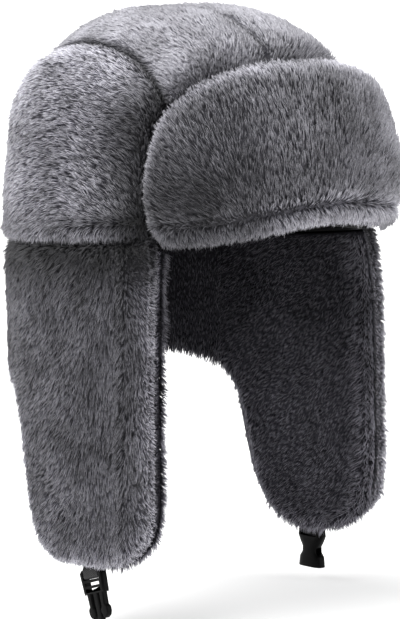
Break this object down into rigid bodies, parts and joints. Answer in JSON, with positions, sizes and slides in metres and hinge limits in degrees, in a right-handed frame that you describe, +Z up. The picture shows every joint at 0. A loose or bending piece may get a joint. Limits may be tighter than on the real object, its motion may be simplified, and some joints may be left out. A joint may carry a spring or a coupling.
{
  "type": "ushanka hat",
  "caption": "Padded faux-fur ushanka with a turned-up front peak, hanging ear flaps and neck band, and a side-release buckle half under each flap.",
  "frame": {"origin": "top of the inside of the crown, where the hat sits on a head", "axes": "+Z up, -Y the way the wearer looks, +X towards the wearer's left"},
  "size_m": [0.2066, 0.2399, 0.3586],
  "materials": {
    "grey_fur": "deep soft pile, grey with lighter tips",
    "lining_plush": "short plush, dark grey",
    "black_webbing": "ribbed woven tape, black",
    "buckle_plastic": "moulded, satin black"
  },
  "bodies": {
    "root": {"crown_side_panel_right": "grey_fur", "crown_side_panel_left": "grey_fur", "crown_top_panel_right": "grey_fur", "crown_top_panel_left": "grey_fur", "crown_lining_top": "lining_plush", "crown_lining_side": "lining_plush", "peak_face": "grey_fur", "peak_back": "lining_plush", "ear_band_fur": "grey_fur", "ear_band_lining": "lining_plush", "strap_right": "black_webbing", "strap_left": "black_webbing", "buckle_plug": "buckle_plastic", "buckle_socket": "buckle_plastic"}
  },
  "joints": []
}
